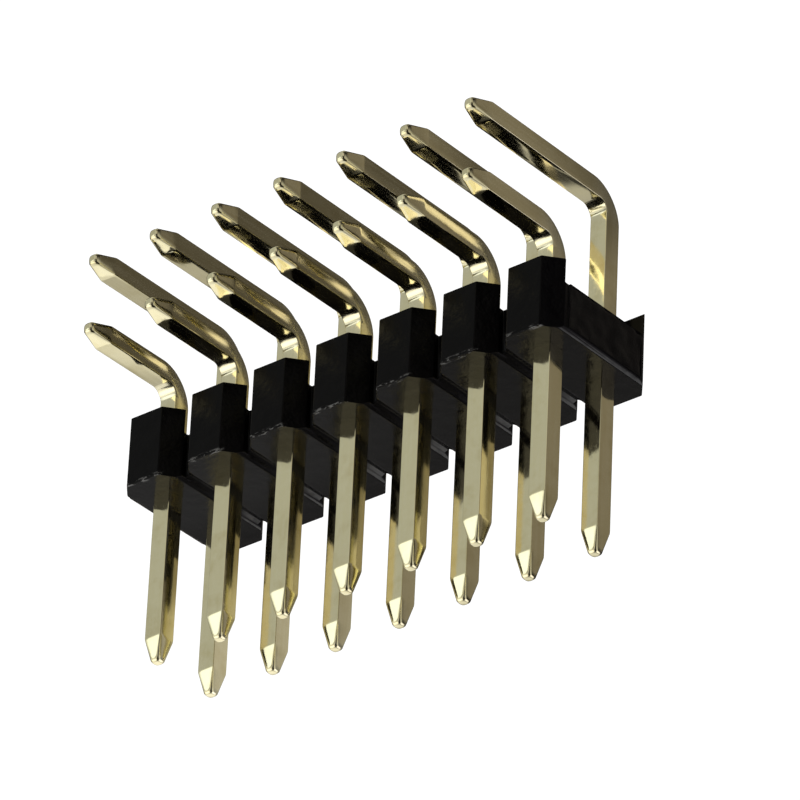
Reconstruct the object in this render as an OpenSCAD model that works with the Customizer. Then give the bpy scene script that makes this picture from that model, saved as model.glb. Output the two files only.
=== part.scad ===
// Right-angle pin header with two rows of square pins in one moulded housing.
// It lies on the long back face of the housing, as a loose one comes to rest.
// X runs along the strip, the mating pins point along -Y and the solder tails
// point along +Z. The origin is the middle of the back face that it lies on.
// All sizes are in millimetres.

/* [Grid] */
// Number of pin pairs along the strip
positions = 7; // [2:1:16]
// Spacing of the pins along the strip
pitch = 2.54; // [2.40:0.02:3.00]
// Spacing of the two pin rows inside the housing
row_pitch = 2.54; // [2.20:0.02:3.40]
// Spacing of the two rows of solder tails
tail_row_pitch = 2.54; // [2.20:0.02:3.40]

/* [Housing] */
// Size of the housing along its pins, from mating face to wall tops
housing_height = 2.5; // [2.20:0.05:3.50]
// From the centre of a pin row to the nearer long face
row_inset = 1.27; // [1.15:0.01:1.60]
// Gap between the chamfered ends of neighbouring blocks
block_gap = 0.26; // [0.16:0.02:0.40]
// Corner chamfer of a block, measured along the strip
corner_w = 0.50; // [0.30:0.02:0.60]
// Corner chamfer of a block, measured across the strip
corner_d = 0.60; // [0.40:0.02:0.70]
// Depth of the slot between two blocks, from the long face to the web
slot_depth = 0.76; // [0.68:0.02:0.94]
// Stub of web at each end, where the strip was snapped off a longer one
snap_stub = 0.08; // [0.02:0.02:0.10]
// Thickness of the raised walls along both long sides
wall_t = 0.60; // [0.40:0.02:0.70]
// Height of the raised walls above the channel floor
wall_height = 0.85; // [0.40:0.05:1.20]
// Width of the parting groove between two positions on the mating face
groove_w = 0.54; // [0.30:0.02:0.80]
// Depth of that parting groove
groove_d = 0.16; // [0.08:0.02:0.30]

/* [Pins] */
// Side of the square wire
pin_w = 0.64; // [0.50:0.01:0.72]
// Clearance on each side of a pin in its hole
pin_fit = 0.01; // [0.00:0.005:0.03]
// Length of a mating pin below the mating face
mating_length = 6.0; // [4.0:0.1:12.0]
// From the wall tops to the centre line of the nearer row of arms
arm_rise = 1.65; // [1.40:0.05:3.00]
// Length of a solder tail beyond the housing's front face
tail_length = 3.0; // [2.4:0.1:6.0]
// Radius inside the bend
bend_in_r = 0.40; // [0.20:0.05:0.60]
// Radius outside the bend
bend_out_r = 1.25; // [0.90:0.05:1.35]
// Length of the tapered tips
tip_length = 0.80; // [0.50:0.05:1.20]
// Width of the flat at the end of a tip
tip_w = 0.33; // [0.16:0.01:0.44]

/* [Hidden] */
$fn = 64;
// Overshoot of a cutting shape past the face that it cuts
cut = 0.2;

housing_depth = row_pitch + 2 * row_inset;
strip_length = positions * pitch - block_gap;
web_length = strip_length + 2 * snap_stub;
block_half = (pitch - block_gap) / 2;
mating_face_y = -housing_height / 2;
wall_top_y = housing_height / 2;
floor_y = wall_top_y - wall_height;
hole_w = pin_w + 2 * pin_fit;

// The outer row lies near the back face and has the long arms
outer_row_z = row_inset;
inner_row_z = row_inset + row_pitch;
inner_arm_y = wall_top_y + arm_rise;
outer_arm_y = inner_arm_y + tail_row_pitch;
tail_end_z = housing_depth + tail_length;
mating_end_y = mating_face_y - mating_length;

// Place along the strip of pin pair i, counted from 1
function pin_x(i) = (i - (positions + 1) / 2) * pitch;

// Place along the strip of the line between pairs i and i + 1
function parting_x(i) = pin_x(i) + pitch / 2;

// Section of one block, with a chamfer on each of its four corners
module block_section() {
    polygon([
        [-block_half, corner_d],
        [-block_half + corner_w, 0],
        [block_half - corner_w, 0],
        [block_half, corner_d],
        [block_half, housing_depth - corner_d],
        [block_half - corner_w, housing_depth],
        [-block_half + corner_w, housing_depth],
        [-block_half, housing_depth - corner_d]
    ]);
}

// Block that holds one pair of pins
module block() {
    rotate([90, 0, 0])
        linear_extrude(height = housing_height, center = true)
            block_section();
}

// Web that joins the blocks between the slots and ends in the snapped stubs
module web() {
    translate([-web_length / 2, mating_face_y, slot_depth])
        cube([web_length, housing_height, housing_depth - 2 * slot_depth]);
}

// Open channel between the raised walls, where the pins come out
module channel() {
    translate([-web_length / 2 - cut, floor_y, wall_t])
        cube([web_length + 2 * cut, wall_height + cut, housing_depth - 2 * wall_t]);
}

// Parting groove across the mating face
module parting_groove() {
    translate([0, mating_face_y, -cut])
        linear_extrude(height = housing_depth + 2 * cut)
            polygon([
                [-groove_w / 2, -cut],
                [groove_w / 2, -cut],
                [groove_w / 2, 0],
                [0, groove_d],
                [-groove_w / 2, 0]
            ]);
}

// Square hole right through the housing for one pin
module pin_hole() {
    cube([hole_w, housing_height + 2 * cut, hole_w], center = true);
}

module housing() {
    color([0.07, 0.07, 0.08])
        difference() {
            union() {
                for (i = [1 : positions])
                    translate([pin_x(i), 0, 0])
                        block();
                web();
            }
            channel();
            for (i = [0 : positions])
                translate([parting_x(i), 0, 0])
                    parting_groove();
            for (i = [1 : positions])
                for (z = [inner_row_z, outer_row_z])
                    translate([pin_x(i), 0, z])
                        pin_hole();
        }
}

// Outline of a bar of wire that starts at zero and ends in a tapered tip
module bar_outline(length) {
    polygon([
        [-pin_w / 2, 0],
        [pin_w / 2, 0],
        [pin_w / 2, length - tip_length],
        [tip_w / 2, length],
        [-tip_w / 2, length],
        [-pin_w / 2, length - tip_length]
    ]);
}

// Square bar along +Z whose tip is tapered on all four sides
module tapered_bar(length) {
    intersection() {
        rotate([90, 0, 0])
            linear_extrude(height = pin_w, center = true)
                bar_outline(length);
        rotate([90, 0, 90])
            linear_extrude(height = pin_w, center = true)
                bar_outline(length);
    }
}

// Metal that fills the inside of the bend
module bend_fillet() {
    translate([0, -pin_w / 2 - bend_in_r, pin_w / 2 + bend_in_r])
        difference() {
            translate([-pin_w / 2, 0, -bend_in_r])
                cube([pin_w, bend_in_r, bend_in_r]);
            rotate([0, 90, 0])
                cylinder(h = pin_w + 2 * cut, r = bend_in_r, center = true);
        }
}

// Metal that the bend takes off the outside corner
module bend_round() {
    translate([0, pin_w / 2 - bend_out_r, bend_out_r - pin_w / 2])
        difference() {
            translate([-pin_w / 2 - cut, 0, -bend_out_r - cut])
                cube([pin_w + 2 * cut, bend_out_r + cut, bend_out_r + cut]);
            rotate([0, 90, 0])
                cylinder(h = pin_w + 4 * cut, r = bend_out_r, center = true);
        }
}

// Bent pin with the corner of its centre line at zero
module bent_pin(mating_run, tail_run) {
    difference() {
        union() {
            rotate([90, 0, 0])
                translate([0, 0, -pin_w / 2])
                    tapered_bar(mating_run + pin_w / 2);
            translate([0, 0, -pin_w / 2])
                tapered_bar(tail_run + pin_w / 2);
            bend_fillet();
        }
        bend_round();
    }
}

// Pin of pair i in the row at height row_z, with its arm at arm_y
module header_pin(i, row_z, arm_y) {
    color([0.83, 0.74, 0.48])
        translate([pin_x(i), arm_y, row_z])
            bent_pin(arm_y - mating_end_y, tail_end_z - row_z);
}

// Pin of the row nearer the circuit board, with the short arm
module inner_pin(i) {
    header_pin(i, inner_row_z, inner_arm_y);
}

// Pin of the row along the back face, with the long arm
module outer_pin(i) {
    header_pin(i, outer_row_z, outer_arm_y);
}

housing();
for (i = [1 : positions]) {
    inner_pin(i);
    outer_pin(i);
}
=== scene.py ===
import math

import bmesh
import bpy
from mathutils import Matrix, Vector
from mathutils import noise as value_noise


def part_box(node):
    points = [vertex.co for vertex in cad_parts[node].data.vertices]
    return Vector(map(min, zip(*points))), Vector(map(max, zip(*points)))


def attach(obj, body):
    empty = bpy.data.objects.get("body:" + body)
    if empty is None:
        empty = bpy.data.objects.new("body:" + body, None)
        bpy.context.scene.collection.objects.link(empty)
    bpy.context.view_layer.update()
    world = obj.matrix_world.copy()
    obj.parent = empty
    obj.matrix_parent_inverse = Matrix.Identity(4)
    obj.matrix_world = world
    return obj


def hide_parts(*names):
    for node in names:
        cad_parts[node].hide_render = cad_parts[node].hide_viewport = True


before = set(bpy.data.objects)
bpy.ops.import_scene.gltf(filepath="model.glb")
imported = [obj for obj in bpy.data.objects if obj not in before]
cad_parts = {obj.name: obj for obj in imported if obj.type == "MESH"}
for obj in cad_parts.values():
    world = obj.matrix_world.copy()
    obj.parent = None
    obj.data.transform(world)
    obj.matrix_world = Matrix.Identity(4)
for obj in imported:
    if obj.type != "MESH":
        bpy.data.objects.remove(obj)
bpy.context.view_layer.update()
MM = 0.001


# Camera, at the photograph's viewing angle

CAMERA_AZIMUTH = 47.19
CAMERA_ELEVATION = 40.46
CAMERA_ROLL = -56.29
CAMERA_DISTANCE = 221.6 * MM
CAMERA_LENS = 319.8
SENSOR_WIDTH = 36.0
AIM = Vector((0.128, 0.551, 1.873)) * MM

# Soft light of the studio as patches of sky: direction, angles in degrees where
# a patch is full and where it ends, and colour with its strength

SKY_BASE = (0.018, 0.016, 0.013)
SKY_PATCHES = (
    ((-0.56, -0.50, 0.66), 8, 22, (0.7, 0.65, 0.5)),
    ((-0.56, -0.60, 0.55), 20, 45, (0.95, 0.93, 0.88)),
    ((-0.56, 0.20, 0.80), 6, 15, (0.85, 0.90, 0.92)),
    ((-0.60, 0.52, 0.60), 22, 52, (0.40, 0.41, 0.39)),
    ((0.10, 0.52, 0.85), 10, 24, (0.30, 0.30, 0.27)),
    ((-0.56, -0.52, -0.65), 15, 40, (0.42, 0.41, 0.39)),
    ((0.56, 0.52, -0.65), 12, 34, (0.17, 0.15, 0.12)),
    ((0.58, -0.63, -0.50), 12, 30, (0.95, 0.90, 0.95)),
    ((-0.56, 0.48, -0.68), 6, 15, (0.22, 0.20, 0.17)),
    ((1.00, 0.00, 0.05), 15, 40, (0.40, 0.39, 0.36)),
    ((0.00, 1.00, 0.10), 12, 32, (0.40, 0.39, 0.36)),
    ((0.00, -0.10, 1.00), 8, 22, (0.50, 0.49, 0.46)),
    ((0.56, 0.52, 0.65), 8, 19, (0.50, 0.47, 0.43)),
)

# What the pins mirror of the table, as painted shade and painted light: the strip's
# shadow is painted behind it, up to its right end, the arms' shadow is painted as a
# band, and painted light falls at the front left and in front of the mating ends. Each
# pair runs from where a change starts to where it is full, in millimetres, and each
# single number is a strength.

SHADE_X = (13.5, 8.0)
SHADE_Y = (3.0, 6.0)
SHADE = 0.58
ARM_SHADE_NEAR = (1.2, 1.7)
ARM_SHADE_FAR = (2.9, 2.3)
ARM_SHADE_X = (9.5, 6.5)
ARM_SHADE = 0.93
GLOW_Y = (-1.5, -3.5)
GLOW_X = (4.0, -8.0)
GLOW = 0.30
FRONT_LIGHT_Y = (-7.6, -8.3)
FRONT_LIGHT = 0.30

# Wire of the pins, with the same sizes as in the CAD source

TIP_LENGTH = 0.80 * MM
TIP_WIDTH = 0.33 * MM
BEND_INSIDE = 0.40 * MM
BEND_OUTSIDE = 1.25 * MM

# Finer form of the wire, which the CAD solids leave out: radius of its corners,
# crown of its sides, and metal that the bend pushes out inside and draws in outside

CORNER = 0.025 * MM
TIP_CORNER = 0.10 * MM
CROWN = 0.004 * MM
UPSET = 0.03 * MM
UPSET_INSIDE_SHARE = 0.6
ARC_STEPS = 4
FLAT_POINTS = 3
BEND_STEPS = 14

# Round end of a tip: distance from the end in millimetres, then half width and
# corner radius as shares of half the tip's width

TIP_END = ((0.0, 0.55, 0.40), (0.010, 0.75, 0.50), (0.030, 0.92, 0.60))

# Places of the other rings as shares of the tip's length; past the last of them
# the tip runs into the straight wire, with the step in millimetres still to go

TIP_SHARES = (0.09, 0.25, 0.50, 0.75, 0.95)
TIP_RUN_OUT = ((1.01, 0.002), (1.08, 0.0))

# Finer form of the housing: the CAD's holes and how far they close, rounded edges,
# and the snapped ends, with the noise of their chips and of their ragged edge

HOLE_WIDTH = 0.66 * MM
TIGHT_WIDTH = 0.647 * MM
RIM_REACH = 0.01 * MM
EDGE_ROUND = 0.03 * MM
EDGE_ANGLE = math.radians(20)
FLAT_ANGLE = math.radians(1)
WELD = 0.001 * MM
SNAP_DEPTH = 0.08 * MM
SNAP_GRID = 0.13 * MM
SNAP_REACH = 0.012 * MM
CHIP_SCALE = 2.3
CHIP_ROUGHNESS = 0.6
CHIP_LACUNARITY = 2.0
CHIP_OCTAVES = 4
RAGGED_SCALE = 3.7

# Worn places and painted light, from where each starts to where it is full, in
# millimetres: wear round the middle of a bend and along the housing's front edge,
# and painted light at the back of its grooves, along its right end, and from the
# front of that end

BEND_WEAR = (1.3, 0.4)
EDGE_WEAR = (0.16, 0.03)
BACK_PAINTED_LIGHT = (1.9, 1.3)
END_PAINTED_LIGHT = (0.50, 0.40)
END_PAINTED_LIGHT_FRONT = (4.9, 4.3)

# Colours of the surfaces, as linear red, green, blue and alpha

GOLD = (0.94, 0.87, 0.57, 1)
GOLD_TARNISHED = (0.86, 0.78, 0.48, 1)
GOLD_STREAKED = (0.98, 0.92, 0.66, 1)
GOLD_STRETCHED = (0.90, 0.87, 0.70, 1)
NYLON = (0.0026, 0.0023, 0.0028, 1)
NYLON_WORN_AND_LIT = (0.20, 0.20, 0.205, 1)
WHITE = (1, 1, 1, 1)
BLACK = (0, 0, 0, 1)

# Half the side of the square floor, in metres

FLOOR_HALF = 3.0


def direction(azimuth, elevation):
    """Unit vector from the object towards that azimuth and elevation, in degrees."""
    a = math.radians(azimuth)
    e = math.radians(elevation)
    return Vector((math.sin(a) * math.cos(e), -math.cos(a) * math.cos(e), math.sin(e)))


def make_camera():
    data = bpy.data.cameras.new("camera")
    data.sensor_width = SENSOR_WIDTH
    data.lens = CAMERA_LENS
    data.clip_start = 0.01
    data.clip_end = 5.0
    camera = bpy.data.objects.new("camera", data)
    bpy.context.scene.collection.objects.link(camera)
    back = direction(CAMERA_AZIMUTH, CAMERA_ELEVATION)
    level_right = Vector((0, 0, 1)).cross(back).normalized()
    level_up = back.cross(level_right)
    roll = math.radians(CAMERA_ROLL)
    right = level_right * math.cos(roll) + level_up * math.sin(roll)
    up = back.cross(right)
    turn = Matrix((right, up, back)).transposed().to_4x4()
    camera.matrix_world = Matrix.Translation(AIM + back * CAMERA_DISTANCE) @ turn
    bpy.context.scene.camera = camera


# Node helpers

def new_material(name):
    material = bpy.data.materials.new(name)
    material.use_nodes = True
    tree = material.node_tree
    return material, tree, tree.nodes["Principled BSDF"]


def add(tree, kind, inputs=None, **settings):
    """New node with its settings; an input is a value or the output that feeds it."""
    made = tree.nodes.new("ShaderNode" + kind)
    for name, value in settings.items():
        setattr(made, name, value)
    for name, value in (inputs or {}).items():
        if isinstance(value, bpy.types.NodeSocket):
            tree.links.new(value, made.inputs[name])
        else:
            made.inputs[name].default_value = value
    return made


def millimetres(tree):
    """Object coordinates in millimetres."""
    coordinates = add(tree, "TexCoord").outputs["Object"]
    scaled = add(tree, "VectorMath", {0: coordinates, "Scale": 1 / MM}, operation="SCALE")
    return scaled.outputs["Vector"]


def noise(tree, place, stretch, scale=1.0, detail=3.0, roughness=0.5):
    """Noise in millimetre space, squeezed along each axis by stretch."""
    mapped = add(tree, "Mapping", {"Vector": place, "Scale": stretch})
    made = add(tree, "TexNoise", {
        "Vector": mapped.outputs["Vector"],
        "Scale": scale,
        "Detail": detail,
        "Roughness": roughness,
    })
    return made.outputs["Fac"]


def ramp(tree, value, low, high, result_low=0.0, result_high=1.0):
    """Smooth step of value from low to high."""
    made = add(tree, "MapRange", {
        "Value": value,
        "From Min": low,
        "From Max": high,
        "To Min": result_low,
        "To Max": result_high,
    }, interpolation_type="SMOOTHSTEP")
    return made.outputs["Result"]


def maths(tree, operation, first, second):
    return add(tree, "Math", {0: first, 1: second}, operation=operation).outputs["Value"]


def mix_colour(tree, factor, first, second):
    made = add(tree, "Mix", {0: factor, 6: first, 7: second}, data_type="RGBA")
    return made.outputs[2]


def bump(tree, height, strength, distance, normal=None):
    inputs = {"Height": height, "Strength": strength, "Distance": distance}
    if normal is not None:
        inputs["Normal"] = normal
    return add(tree, "Bump", inputs).outputs["Normal"]


# Materials

def gold_material(name, arm_y, row_z, wire):
    """Gold flash over drawn brass wire, paler and duller at the bend; sizes in millimetres."""
    material, tree, shader = new_material(name)
    place = millimetres(tree)
    axes = add(tree, "SeparateXYZ", {0: place})
    y = axes.outputs["Y"]
    z = axes.outputs["Z"]

    # Drawing marks run along Y on the arm and along Z on the tail
    arm_marks = noise(tree, place, (9.0, 0.35, 9.0), detail=0.5)
    tail_marks = noise(tree, place, (9.0, 9.0, 0.35), detail=0.5)
    on_tail = ramp(tree, z, row_z, row_z + wire)
    marks = add(tree, "Mix", {0: on_tail, 2: arm_marks, 3: tail_marks}).outputs[0]

    # The bend is stretched outside and upset inside, which dulls the plating
    across = maths(tree, "SUBTRACT", y, arm_y)
    along = maths(tree, "SUBTRACT", z, row_z)
    offset = add(tree, "CombineXYZ", {"X": across, "Y": along})
    reach = add(tree, "VectorMath", {0: offset.outputs[0]}, operation="LENGTH").outputs["Value"]
    at_bend = ramp(tree, reach, *BEND_WEAR)

    blotches = noise(tree, place, (1.0, 1.0, 1.0), scale=1.3, detail=2.0, roughness=0.6)
    tarnish = ramp(tree, blotches, 0.45, 0.75)
    colour = mix_colour(tree, tarnish, GOLD, GOLD_TARNISHED)
    streaks = ramp(tree, marks, 0.35, 0.7)
    colour = mix_colour(tree, maths(tree, "MULTIPLY", streaks, 0.3), colour, GOLD_STREAKED)
    pale = maths(tree, "MULTIPLY", at_bend, 0.45)
    colour = mix_colour(tree, pale, colour, GOLD_STRETCHED)
    tree.links.new(colour, shader.inputs["Base Color"])

    rough = ramp(tree, marks, 0.3, 0.7, 0.06, 0.13)
    rough = maths(tree, "ADD", rough, maths(tree, "MULTIPLY", at_bend, 0.10))
    tree.links.new(rough, shader.inputs["Roughness"])
    shader.inputs["Metallic"].default_value = 1.0

    waves = noise(tree, place, (1.0, 1.0, 1.0), scale=2.2, detail=1.0)
    normal = bump(tree, waves, 0.08, 0.02 * MM)
    normal = bump(tree, marks, 0.04, 0.006 * MM, normal)
    tree.links.new(normal, shader.inputs["Normal"])
    return material


def plastic_material(low, high):
    """Black glass-filled nylon, with a fine grain, worn places and painted light on its
    right-facing groove sides; sizes in millimetres.
    """
    material, tree, shader = new_material("black_moulded_nylon")
    place = millimetres(tree)
    axes = add(tree, "SeparateXYZ", {0: place})
    x = axes.outputs["X"]
    y = axes.outputs["Y"]
    z = axes.outputs["Z"]

    # Scuffs and flash lie along the front edge of the mating face
    from_face = maths(tree, "ABSOLUTE", maths(tree, "SUBTRACT", y, low.y), 0.0)
    from_front = maths(tree, "ABSOLUTE", maths(tree, "SUBTRACT", z, high.z), 0.0)
    from_edge = maths(tree, "MAXIMUM", from_face, from_front)
    near_edge = ramp(tree, from_edge, *EDGE_WEAR)
    nicks = noise(tree, place, (3.0, 9.0, 9.0), detail=4.0, roughness=0.7)
    wear_and_painted_light = maths(tree, "MULTIPLY", near_edge, ramp(tree, nicks, 0.52, 0.62))

    # Glass fibres show as pale specks
    fibres = noise(tree, place, (14.0, 14.0, 14.0), detail=3.0, roughness=0.7)
    specks = ramp(tree, fibres, 0.70, 0.80)
    wear_and_painted_light = maths(tree, "MAXIMUM", wear_and_painted_light, maths(tree, "MULTIPLY", specks, 0.3))

    # Painted light: the groove sides that face right are painted pale, at the back and along the
    # right end
    facing = add(tree, "SeparateXYZ", {0: add(tree, "NewGeometry").outputs["Normal"]})
    right = facing.outputs["X"]
    slanted = maths(tree, "MULTIPLY", ramp(tree, right, 0.40, 0.48), ramp(tree, right, 0.62, 0.54))
    slanted = maths(tree, "MULTIPLY", slanted, ramp(tree, facing.outputs["Y"], -0.70, -0.80))
    at_back = ramp(tree, z, *BACK_PAINTED_LIGHT)
    at_end = ramp(tree, x, high.x - END_PAINTED_LIGHT[0], high.x - END_PAINTED_LIGHT[1])
    at_end = maths(tree, "MULTIPLY", at_end, ramp(tree, z, *END_PAINTED_LIGHT_FRONT))
    painted_groove_light = maths(tree, "MULTIPLY", slanted, maths(tree, "MAXIMUM", at_back, at_end))
    painted_light_noise = noise(tree, place, (4.0, 4.0, 2.0), detail=2.0)
    painted_groove_light = maths(tree, "MULTIPLY", painted_groove_light, ramp(tree, painted_light_noise, 0.30, 0.60, 0.28, 0.46))
    wear_and_painted_light = maths(tree, "MAXIMUM", wear_and_painted_light, painted_groove_light)
    # The pale colour stands for real wear and specks, and for the painted light on the groove sides
    colour = mix_colour(tree, wear_and_painted_light, NYLON, NYLON_WORN_AND_LIT)
    tree.links.new(colour, shader.inputs["Base Color"])

    patches = noise(tree, place, (1.0, 1.0, 1.0), scale=1.8, detail=3.0, roughness=0.65)
    rough = ramp(tree, patches, 0.3, 0.7, 0.12, 0.24)
    rough = maths(tree, "ADD", rough, maths(tree, "MULTIPLY", wear_and_painted_light, 0.3))
    tree.links.new(rough, shader.inputs["Roughness"])
    shader.inputs["Specular IOR Level"].default_value = 0.08

    grain = noise(tree, place, (10.0, 10.0, 10.0), detail=2.0, roughness=0.6)
    normal = bump(tree, patches, 0.3, 0.06 * MM)
    normal = bump(tree, grain, 0.25, 0.008 * MM, normal)
    tree.links.new(normal, shader.inputs["Normal"])
    return material


# Pins

def rounded_square(rounding, crown):
    """Ring of points round the square from -1 to 1, with round corners and crowned sides."""
    signs = ((1, 1), (-1, 1), (-1, -1), (1, -1))

    def corner_point(turn, angle):
        sign_a, sign_b = signs[turn % 4]
        a = sign_a * (1 - rounding) + rounding * math.cos(angle)
        b = sign_b * (1 - rounding) + rounding * math.sin(angle)
        return Vector((a, b))

    ring = []
    for turn in range(4):
        for step in range(ARC_STEPS + 1):
            ring.append(corner_point(turn, math.radians(90 * (turn + step / ARC_STEPS))))
        side = math.radians(90 * (turn + 1))
        outward = Vector((math.cos(side), math.sin(side)))
        first = ring[-1]
        last = corner_point(turn + 1, side)
        for step in range(1, FLAT_POINTS + 1):
            share = step / (FLAT_POINTS + 1)
            ring.append(first.lerp(last, share) + outward * crown * 4 * share * (1 - share))
    return ring


def wire_ring(x, inner, outer, half_inner, half_outer, corner):
    """Section of the wire between a point inside the bend and one outside it (Y, Z)."""
    middle = (inner + outer) / 2
    reach = (outer - inner) / 2
    half = (half_inner + half_outer) / 2
    ring = []
    for a, b in rounded_square(corner / half, CROWN / half):
        width = half + (half_outer - half_inner) / 2 * b
        place = middle + reach * b
        ring.append((x + a * width, place.x, place.y))
    return ring


def tip_steps(wire):
    """Half width and corner radius of a tip at each distance from its end."""
    end = TIP_WIDTH / 2
    slope = (wire / 2 - end) / TIP_LENGTH
    steps = [(distance * MM, end * half, end * corner) for distance, half, corner in TIP_END]
    for share in TIP_SHARES:
        distance = share * TIP_LENGTH
        corner = TIP_CORNER + (CORNER - TIP_CORNER) * share
        steps.append((distance, end + slope * distance, corner))
    for share, to_go in TIP_RUN_OUT:
        steps.append((share * TIP_LENGTH, wire / 2 - to_go * MM, CORNER))
    return steps


def wire_rings(low, high):
    """Rings along a bent pin that fills the box from low to high."""
    wire = high.x - low.x
    x = (low.x + high.x) / 2
    arm_y = high.y - wire / 2
    row_z = low.z + wire / 2
    rings = []
    for distance, half, corner in tip_steps(wire):
        y = low.y + distance
        inner = Vector((y, row_z + half))
        outer = Vector((y, row_z - half))
        rings.append(wire_ring(x, inner, outer, half, half, corner))
    inside = Vector((arm_y - wire / 2 - BEND_INSIDE, row_z + wire / 2 + BEND_INSIDE))
    outside = Vector((arm_y + wire / 2 - BEND_OUTSIDE, row_z - wire / 2 + BEND_OUTSIDE))
    for step in range(BEND_STEPS + 1):
        angle = math.radians(90 * step / BEND_STEPS)
        towards = Vector((math.sin(angle), -math.cos(angle)))
        swell = UPSET * math.sin(2 * angle)
        half_inner = wire / 2 + swell * UPSET_INSIDE_SHARE
        half_outer = wire / 2 - swell
        inner = inside + towards * BEND_INSIDE
        outer = outside + towards * BEND_OUTSIDE
        rings.append(wire_ring(x, inner, outer, half_inner, half_outer, CORNER))
    for distance, half, corner in reversed(tip_steps(wire)):
        z = high.z - distance
        inner = Vector((arm_y - half, z))
        outer = Vector((arm_y + half, z))
        rings.append(wire_ring(x, inner, outer, half, half, corner))
    return rings


def new_piece(name, form, node):
    """Object of a finished bmesh that stands for a CAD node."""
    mesh = bpy.data.meshes.new(name)
    bmesh.ops.recalc_face_normals(form, faces=form.faces)
    form.to_mesh(mesh)
    form.free()
    for polygon in mesh.polygons:
        polygon.use_smooth = True
    piece = bpy.data.objects.new(name, mesh)
    bpy.context.scene.collection.objects.link(piece)
    normals = piece.modifiers.new("flat_sides", "WEIGHTED_NORMAL")
    normals.weight = 90
    normals.keep_sharp = True
    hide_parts(node)
    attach(piece, "root")
    return piece


def make_pin(node, gold):
    low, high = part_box(node)
    form = bmesh.new()
    rows = [[form.verts.new(point) for point in ring] for ring in wire_rings(low, high)]
    count = len(rows[0])
    for first, second in zip(rows, rows[1:]):
        for i in range(count):
            form.faces.new((first[i], first[(i + 1) % count], second[(i + 1) % count], second[i]))
    form.faces.new(rows[0])
    form.faces.new(rows[-1])
    piece = new_piece(node + "_wire", form, node)
    piece.data.materials.append(gold)


def pin_gold(row):
    """Gold for one row of pins, with its bend where the frame has it."""
    low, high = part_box(row + "_pin_1")
    wire = high.x - low.x
    arm_y = high.y - wire / 2
    row_z = low.z + wire / 2
    return gold_material(row + "_row_gold", arm_y / MM, row_z / MM, wire / MM)


# Housing

def pin_hole_at(point, holes):
    """Centre (X, Z) of the pin hole whose rim that point is on, or None."""
    reach = HOLE_WIDTH / 2 + RIM_REACH
    for x, z in holes:
        if abs(point.x - x) < reach and abs(point.z - z) < reach:
            return x, z
    return None


def hole_centres(pins):
    """Places (X, Z) where the pins pass through the housing."""
    centres = []
    for name in pins:
        low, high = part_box(name)
        wire = high.x - low.x
        centres.append(((low.x + high.x) / 2, low.z + wire / 2))
    return centres


def round_edges(form, holes):
    """Rounds the outer edges of the moulding and leaves the rims of the pin holes sharp."""
    edges = []
    for edge in form.edges:
        if all(pin_hole_at(vert.co, holes) for vert in edge.verts):
            edge.smooth = False
        elif edge.calc_face_angle() > EDGE_ANGLE:
            edges.append(edge)
    bmesh.ops.bevel(form, geom=edges, offset=EDGE_ROUND, segments=2, profile=0.5, affect="EDGES")


def tighten_holes(form, holes):
    """Closes the clearance that the CAD leaves round each pin, as the pins are pressed in."""
    for vert in form.verts:
        centre = pin_hole_at(vert.co, holes)
        if centre:
            vert.co.x = centre[0] + math.copysign(TIGHT_WIDTH / 2, vert.co.x - centre[0])
            vert.co.z = centre[1] + math.copysign(TIGHT_WIDTH / 2, vert.co.z - centre[1])


def roughen_ends(form, low, high):
    """Breaks up both end faces, where the strip was snapped off a longer one."""
    limit = high.x - SNAP_REACH
    for axis, start, stop in ((1, low.y, high.y), (2, low.z, high.z)):
        level = start + SNAP_GRID / 2
        while level < stop:
            ends = [f for f in form.faces if all(abs(vert.co.x) > limit for vert in f.verts)]
            parts = set(ends)
            for face in ends:
                parts.update(face.edges)
                parts.update(face.verts)
            normal = Vector((0, 0, 0))
            normal[axis] = 1
            bmesh.ops.bisect_plane(form, geom=list(parts), plane_co=normal * level, plane_no=normal)
            level += SNAP_GRID
    for vert in form.verts:
        if abs(vert.co.x) > limit:
            spot = vert.co / MM
            chip = value_noise.fractal(
                spot * CHIP_SCALE, CHIP_ROUGHNESS, CHIP_LACUNARITY, CHIP_OCTAVES)
            vert.co.x -= math.copysign(SNAP_DEPTH * (0.5 + 0.5 * chip), vert.co.x)
            if vert.co.y < low.y + 2 * EDGE_ROUND:
                ragged = 0.5 + value_noise.noise(spot * RAGGED_SCALE)
                vert.co.y += 0.5 * SNAP_DEPTH * ragged


def make_housing(pins):
    low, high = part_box("housing")
    form = bmesh.new()
    form.from_mesh(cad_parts["housing"].data)
    bmesh.ops.remove_doubles(form, verts=form.verts, dist=WELD)
    bmesh.ops.dissolve_limit(form, angle_limit=FLAT_ANGLE, verts=form.verts, edges=form.edges)
    holes = hole_centres(pins)
    round_edges(form, holes)
    tighten_holes(form, holes)
    roughen_ends(form, low, high)
    piece = new_piece("housing_moulding", form, "housing")
    piece.data.materials.append(plastic_material(low / MM, high / MM))


def make_pieces():
    pins = sorted(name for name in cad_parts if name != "housing")
    golds = {row: pin_gold(row) for row in ("inner", "outer")}
    for name in pins:
        make_pin(name, golds[name.split("_")[0]])
    make_housing(pins)


# Floor and light

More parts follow.
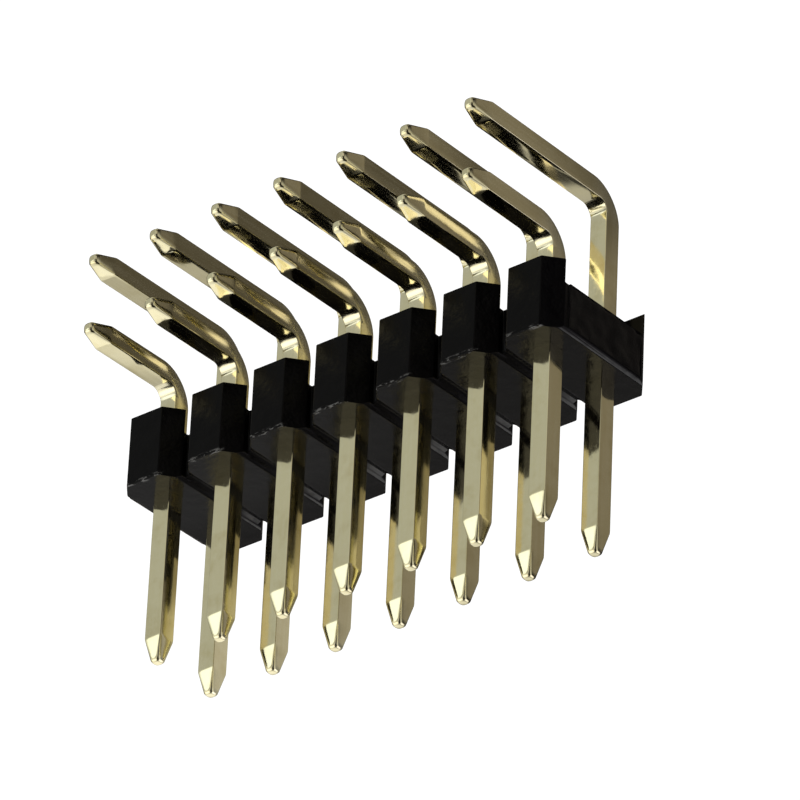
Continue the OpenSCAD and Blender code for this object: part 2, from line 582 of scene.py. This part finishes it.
def floor_material():
    """White to the eye; in reflections it is clear, apart from its places of painted shade and
    painted light.
    """
    material, tree, shader = new_material("floor_white")
    shader.inputs["Base Color"].default_value = BLACK
    shader.inputs["Specular IOR Level"].default_value = 0.0
    shader.inputs["Roughness"].default_value = 1.0
    shader.inputs["Emission Color"].default_value = WHITE
    shader.inputs["Emission Strength"].default_value = 1.1
    axes = add(tree, "SeparateXYZ", {0: millimetres(tree)})
    x = axes.outputs["X"]
    y = axes.outputs["Y"]

    # Painted shade: shaded places let less of the sky below through
    behind = maths(tree, "MULTIPLY", ramp(tree, y, *SHADE_Y), ramp(tree, x, *SHADE_X))
    behind = maths(tree, "MULTIPLY", behind, SHADE)
    arm_shade = maths(tree, "MULTIPLY", ramp(tree, y, *ARM_SHADE_NEAR), ramp(tree, y, *ARM_SHADE_FAR))
    arm_shade = maths(tree, "MULTIPLY", arm_shade, ramp(tree, x, *ARM_SHADE_X))
    arm_shade = maths(tree, "MULTIPLY", arm_shade, ARM_SHADE)
    let_through = maths(tree, "SUBTRACT", 1.0, maths(tree, "MAXIMUM", behind, arm_shade))
    clear = add(tree, "BsdfTransparent", {"Color": let_through})

    # Painted light: lit places shine by themselves, only in reflections
    glow = maths(tree, "MULTIPLY", ramp(tree, y, *GLOW_Y), ramp(tree, x, *GLOW_X))
    glow = maths(tree, "MULTIPLY", glow, GLOW)
    front_light = maths(tree, "MULTIPLY", ramp(tree, y, *FRONT_LIGHT_Y), FRONT_LIGHT)
    lit = add(tree, "Emission", {"Strength": maths(tree, "ADD", glow, front_light)})

    mirrored = add(tree, "AddShader", {0: clear.outputs[0], 1: lit.outputs[0]})
    in_mirror = add(tree, "LightPath").outputs["Is Glossy Ray"]
    seen = add(tree, "MixShader", {0: in_mirror, 1: shader.outputs[0], 2: mirrored.outputs[0]})
    tree.links.new(seen.outputs[0], tree.nodes["Material Output"].inputs["Surface"])
    return material


def make_floor():
    mesh = bpy.data.meshes.new("floor")
    signs = ((-1, -1), (1, -1), (1, 1), (-1, 1))
    corners = [(FLOOR_HALF * a, FLOOR_HALF * b, 0) for a, b in signs]
    mesh.from_pydata(corners, [], [(0, 1, 2, 3)])
    floor = bpy.data.objects.new("floor", mesh)
    bpy.context.scene.collection.objects.link(floor)
    mesh.materials.append(floor_material())


def make_world():
    """Sky that is white to the camera and lights the object with its patches."""
    world = bpy.data.worlds.new("studio")
    bpy.context.scene.world = world
    world.use_nodes = True
    tree = world.node_tree
    background = tree.nodes["Background"]
    outward = add(tree, "TexCoord").outputs["Generated"]
    light = SKY_BASE
    for towards, full, end, colour in SKY_PATCHES:
        middle = Vector(towards).normalized()
        cosine = add(tree, "VectorMath", {0: outward, 1: middle}, operation="DOT_PRODUCT")
        cosine = cosine.outputs["Value"]
        share = ramp(tree, cosine, math.cos(math.radians(end)), math.cos(math.radians(full)))
        patch = add(tree, "VectorMath", {0: colour, "Scale": share}, operation="SCALE")
        patch = patch.outputs["Vector"]
        light = add(tree, "VectorMath", {0: light, 1: patch}, operation="ADD").outputs["Vector"]
    seen = add(tree, "LightPath").outputs["Is Camera Ray"]
    light = mix_colour(tree, seen, light, WHITE)
    tree.links.new(light, background.inputs["Color"])


bpy.context.scene.view_settings.view_transform = "Standard"
make_camera()
make_world()
make_floor()
make_pieces()
